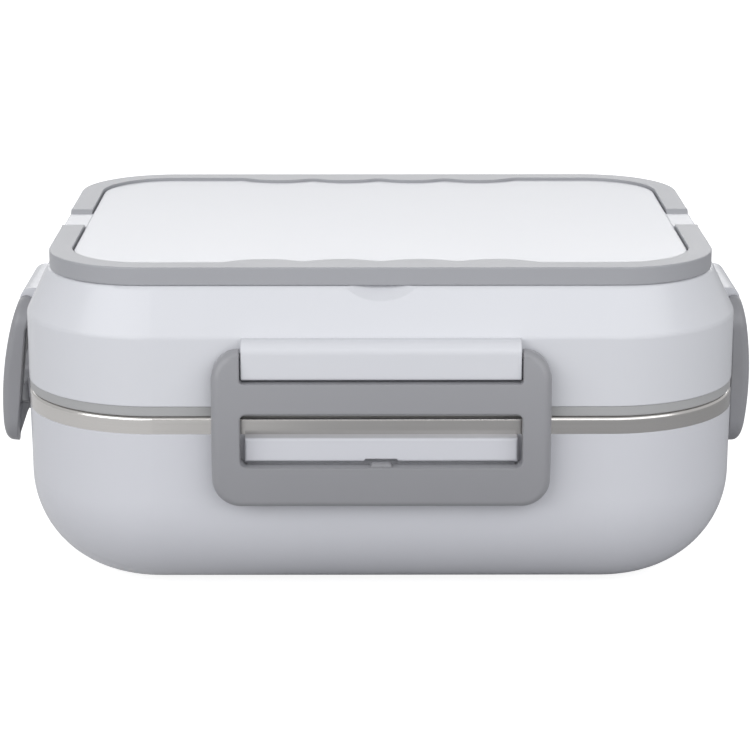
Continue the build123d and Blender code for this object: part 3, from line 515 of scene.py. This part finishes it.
def two_part(name, body_colour, metal_colour, axis, centre, reach, gloss):
    """A small part of two materials in one: moulded resin or ceramic within the reach of its centre along an
    axis, and bare metal further out."""
    material, tree, shader = new_material(name)
    place = tree.nodes.new("ShaderNodeTexCoord").outputs["Object"]
    away = number(tree, "ABSOLUTE", number(tree, "SUBTRACT", parts_of(tree, place)[axis], centre))
    bare = number(tree, "GREATER_THAN", away, reach)
    tree.links.new(bare, shader.inputs["Metallic"])
    skin = place_group(tree, moulded_skin, place, {"Gloss": gloss, "Haze": 0.1, "Grain share": 0.8})
    finish_surface(tree, shader, (body_colour, metal_colour), bare, skin, skin_bump, depth=0.00005)
    return material


terminal_metal = (0.72, 0.70, 0.66)
thermostat_resin = two_part(
    "thermostat_resin",
    body_colour=(0.03, 0.03, 0.03),
    metal_colour=terminal_metal,
    axis="Y",
    centre=0.0,
    reach=0.0081,  # just past its body's radius
    gloss=0.45,
)
dress("thermostat", thermostat_resin)
fuse_x = 0.024
fuse_ceramic = two_part(
    "fuse_ceramic",
    body_colour=(0.80, 0.78, 0.73),
    metal_colour=terminal_metal,
    axis="X",
    centre=fuse_x,
    reach=0.0061,  # just past half its body's length
    gloss=0.35,
)
dress("thermal_fuse", fuse_ceramic)


# ------------------------------------------------------------------------------------- inlet and lamp
# The power cord's inlet is moulded in black plastic and snaps into the rear pocket, with two nickel-plated
# pins in its figure-of-eight socket. Beside it is the lamp's small red lens. Leads in pale silicone join the
# inlet, the thermostat, the fuse and the heaters.
inlet_black = moulded(
    "inlet_black",
    colour=(0.022, 0.022, 0.024),
    darker=(0.03, 0.03, 0.032),
    gloss=0.42,
    haze=0.1,
    grain_share=0.6,
    depth=0.00006,
)
dress("power_inlet", inlet_black)
pin_metal = metal(
    "pin_metal",
    colour=(0.80, 0.77, 0.70),
    darker=(0.70, 0.67, 0.60),
    gloss=0.18,
    spread=0.1,
    depth=0.00001,
    stretch=(900, 60, 900),
)
dress("inlet_pins", pin_metal)
lamp_red = moulded(
    "lamp_red",
    colour=(0.55, 0.02, 0.02),
    darker=(0.45, 0.015, 0.015),
    gloss=0.12,
    haze=0.03,
    grain_share=0.1,
    depth=0.00001,
)
dress("indicator_lens", lamp_red)
wire_silicone = moulded(
    "wire_silicone",
    colour=(0.70, 0.68, 0.63),
    darker=(0.62, 0.60, 0.55),
    gloss=0.5,
    haze=0.1,
    grain_share=0.5,
    depth=0.00003,
)
dress("lead_wires", wire_silicone)


# -------------------------------------------------------------------------------------------- well liner
# The white well that the container stands in, moulded in heat-proof plastic with a fine matt spark texture,
# hung by its lip on the base's rim.
liner_plastic = moulded(
    "liner_plastic",
    colour=(0.72, 0.725, 0.73),
    darker=(0.69, 0.695, 0.70),
    gloss=0.45,
    haze=0.08,
    grain_share=0.75,
    depth=0.00010,
    grain_size=2600.0,
)
dress("well_liner", liner_plastic)


# ------------------------------------------------------------------------------------------------ screws
# Zinc-plated pan-head screws with a cross recess and a rolled thread. Four come up through the feet's
# recesses into the liner's posts, four hold the plate, and seven hold the straps, the bracket and the clip.
def screw_tree():
    """Geometry Nodes: a screw with its head below, set on every point, with the point under the head."""
    tree, given = growing_tree(
        "cross_screws",
        ("Head radius", "Head height", "Shank radius", "Shank length", "Thread pitch", "Thread depth"),
        "Plating",
    )
    nodes, links = tree.nodes, tree.links

    def times(first, second):
        """The product of two values."""
        return number(tree, "MULTIPLY", first, second)

    def raised(mesh, rise):
        """A mesh moved up by a rise."""
        moved = nodes.new("GeometryNodeTransform")
        links.new(mesh, moved.inputs["Geometry"])
        links.new(upward(tree, rise), moved.inputs["Translation"])
        return moved.outputs["Geometry"]

    # the head: a disc whose lower face is domed, with the fourth power of the distance from its axis
    head_radius = given["Head radius"]
    head_height = given["Head height"]
    dome_share = 0.45  # of the head's height, by which its rim is drawn up
    blank = disc(tree, head_radius, head_height, around=32, side_rows=2, rings=6)
    parts = parts_of(tree, nodes.new("GeometryNodeInputPosition").outputs["Position"])
    x, y, level = parts["X"], parts["Y"], parts["Z"]
    away_squared = number(tree, "ADD", times(x, x), times(y, y))
    out_squared = number(tree, "DIVIDE", away_squared, times(head_radius, head_radius))
    rise = times(number(tree, "POWER", out_squared, 2.0), times(head_height, dome_share))
    domed = raise_underside(tree, blank, head_height, level, rise)
    # the cross recess, cut into it by two bars
    cross_reach = times(head_radius, 1.2)
    cross_slot = times(head_radius, 0.3)
    recess = nodes.new("GeometryNodeMeshBoolean")
    recess.operation = "DIFFERENCE"
    recess.solver = "EXACT"
    links.new(domed, recess.inputs["Mesh 1"])
    for width, depth in ((cross_reach, cross_slot), (cross_slot, cross_reach)):
        size = nodes.new("ShaderNodeCombineXYZ")
        links.new(width, size.inputs["X"])
        links.new(depth, size.inputs["Y"])
        links.new(head_height, size.inputs["Z"])
        bar = nodes.new("GeometryNodeMeshCube")
        links.new(size.outputs["Vector"], bar.inputs["Size"])
        links.new(raised(bar.outputs["Mesh"], times(head_height, -0.5)), recess.inputs["Mesh 2"])
    hung_head = raised(recess.outputs["Mesh"], times(head_height, -0.5))
    # the shank
    core = number(tree, "SUBTRACT", given["Shank radius"], given["Thread depth"])
    rod = nodes.new("GeometryNodeMeshCylinder")
    rod.inputs["Vertices"].default_value = 24
    links.new(core, rod.inputs["Radius"])
    links.new(given["Shank length"], rod.inputs["Depth"])
    shank = raised(rod.outputs["Mesh"], times(given["Shank length"], 0.5))
    # the thread: a square ridge wound round the shank, half a pitch clear of either end
    run = number(tree, "SUBTRACT", given["Shank length"], given["Thread pitch"])
    helix = nodes.new("GeometryNodeCurveSpiral")
    helix.inputs["Resolution"].default_value = 20
    links.new(number(tree, "DIVIDE", run, given["Thread pitch"]), helix.inputs["Rotations"])
    links.new(core, helix.inputs["Start Radius"])
    links.new(core, helix.inputs["End Radius"])
    links.new(run, helix.inputs["Height"])
    ridge = nodes.new("GeometryNodeCurvePrimitiveCircle")
    ridge.inputs["Resolution"].default_value = 4
    links.new(given["Thread depth"], ridge.inputs["Radius"])
    wound = nodes.new("GeometryNodeCurveToMesh")
    wound.inputs["Fill Caps"].default_value = True
    links.new(helix.outputs["Curve"], wound.inputs["Curve"])
    links.new(ridge.outputs["Curve"], wound.inputs["Profile Curve"])
    thread = raised(wound.outputs["Mesh"], times(given["Thread pitch"], 0.5))
    whole = nodes.new("GeometryNodeJoinGeometry")
    for piece in (hung_head, shank, thread):
        links.new(piece, whole.inputs["Geometry"])
    stand_on_points(tree, given, whole.outputs["Geometry"], "Plating")
    return tree


screw_steel = metal(
    "screw_steel",
    colour=(0.64, 0.65, 0.66),
    darker=(0.54, 0.55, 0.57),
    gloss=0.3,
    spread=0.15,
    depth=0.00002,
    stretch=(400, 400, 400),
)
cross_screws = screw_tree()
screw_sizes = {
    "Head radius": 0.0028,
    "Head height": 0.0018,
    "Shank radius": 0.0015,
    "Thread pitch": 0.0008,
    "Thread depth": 0.00022,
    "Plating": screw_steel,
}


def screw_set(name, node, places):
    """Screws in place of one CAD node, each with the node's own height."""
    low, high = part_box(node)
    seat = low[2] + screw_sizes["Head height"]
    settings = {**screw_sizes, "Shank length": high[2] - seat}
    screws = grow(name, cross_screws, [(x, y, seat) for x, y in places], settings)
    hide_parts(node)
    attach(screws, "base")


def four_places(node):
    """The middles of four screws that stand in a rectangle about the box's middle."""
    low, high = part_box(node)
    x = high[0] - screw_sizes["Head radius"]
    y = high[1] - screw_sizes["Head radius"]
    return [(side * x, end * y) for side in (-1, 1) for end in (-1, 1)]


screw_set("case_screws", "base_screws", four_places("base_screws"))
screw_set("flange_screws", "plate_screws", four_places("plate_screws"))
heater_row = 0.018  # from the box's middle to the middle of a heater
strap_reach = 0.0103  # from there to either screw of its strap
thermostat_x = -0.016
bracket_reach = 0.01195  # from the thermostat's middle to either screw of its bracket
clip_y = -0.03545  # the screw of the fuse's clip, beside the fuse
strap_places = [(0.0, row * heater_row + end * strap_reach) for row in (-1, 1) for end in (-1, 1)]
bracket_places = [(thermostat_x + end * bracket_reach, 0.0) for end in (-1, 1)]
screw_set("small_screws", "strap_screws", [*strap_places, *bracket_places, (fuse_x, clip_y)])


# ---------------------------------------------------------------------------------------- food container
# A tub pressed from stainless steel sheet. Its rim is rolled over the well's lip and shows as a bright band
# all round the box. Fine polishing lines run round its walls and its band.
container_steel = metal(
    "container_steel",
    colour=(0.71, 0.69, 0.665),
    darker=(0.62, 0.60, 0.575),
    gloss=0.2,
    spread=0.14,
    depth=0.00002,
    stretch=(30, 30, 1900),
)
dress("food_container", container_steel)


# -------------------------------------------------------------------------------------- lid's inner panel
# The panel that closes the lid from below, in smooth white plastic. Its middle hangs into the container, and
# its raised edge carries the lid's ribs.
panel_plastic = moulded(
    "panel_plastic",
    colour=(0.78, 0.785, 0.80),
    darker=(0.76, 0.765, 0.78),
    gloss=0.32,
    haze=0.08,
    grain_share=0.3,
    depth=0.00004,
)
dress("lid_inner_panel", panel_plastic)


# ------------------------------------------------------------------------------------------------ gasket
# One ring of soft pale grey silicone between the lid and the steel rim. It has the matt, slightly greasy
# skin of moulded silicone.
gasket_silicone = moulded(
    "gasket_silicone",
    colour=(0.49, 0.49, 0.485),
    darker=(0.465, 0.465, 0.46),
    gloss=0.5,
    haze=0.1,
    grain_share=0.6,
    depth=0.00005,
)
dress("lid_gasket", gasket_silicone)


# --------------------------------------------------------------------------------------------- lid shell
# The outer lid is moulded in the same glossy plastic as the base, in one piece with the raised panel, the
# finger scoops and the four pivot blocks. Its colour is the plastic's own; the base's is painted a little
# darker, as shade.
lid_white = moulded(
    "lid_white",
    colour=(0.80, 0.805, 0.83),
    darker=(0.785, 0.79, 0.82),
    gloss=0.24,
    haze=0.05,
    grain_share=0.2,
    depth=0.00004,
)
dress("lid_shell", lid_white)


# ---------------------------------------------------------------------------------------- carrying handle
# Two halves of one ring in grey plastic with a satin skin. Each turns on pivots moulded on its arms' ends,
# and the waves along its bar are for the fingers.
handle_plastic = moulded(
    "handle_plastic",
    colour=(0.44, 0.443, 0.462),
    darker=(0.425, 0.428, 0.447),
    gloss=0.33,
    haze=0.08,
    grain_share=0.4,
    depth=0.00004,
)
dress("handle_front", handle_plastic)
dress("handle_rear", handle_plastic)


# --------------------------------------------------------------------------------------------- latches
# Four snap latches in a slightly darker grey plastic, each a frame with a window. They hang on the lid by
# pivots moulded in their horns, and their lower bars snap under the base's catch tabs.
latch_plastic = moulded(
    "latch_plastic",
    colour=(0.362, 0.361, 0.376),
    darker=(0.347, 0.346, 0.361),
    gloss=0.33,
    haze=0.08,
    grain_share=0.5,
    depth=0.00005,
    edge=0.0009,
)
for name in ("front", "right", "rear", "left"):
    dress(f"latch_{name}", latch_plastic)
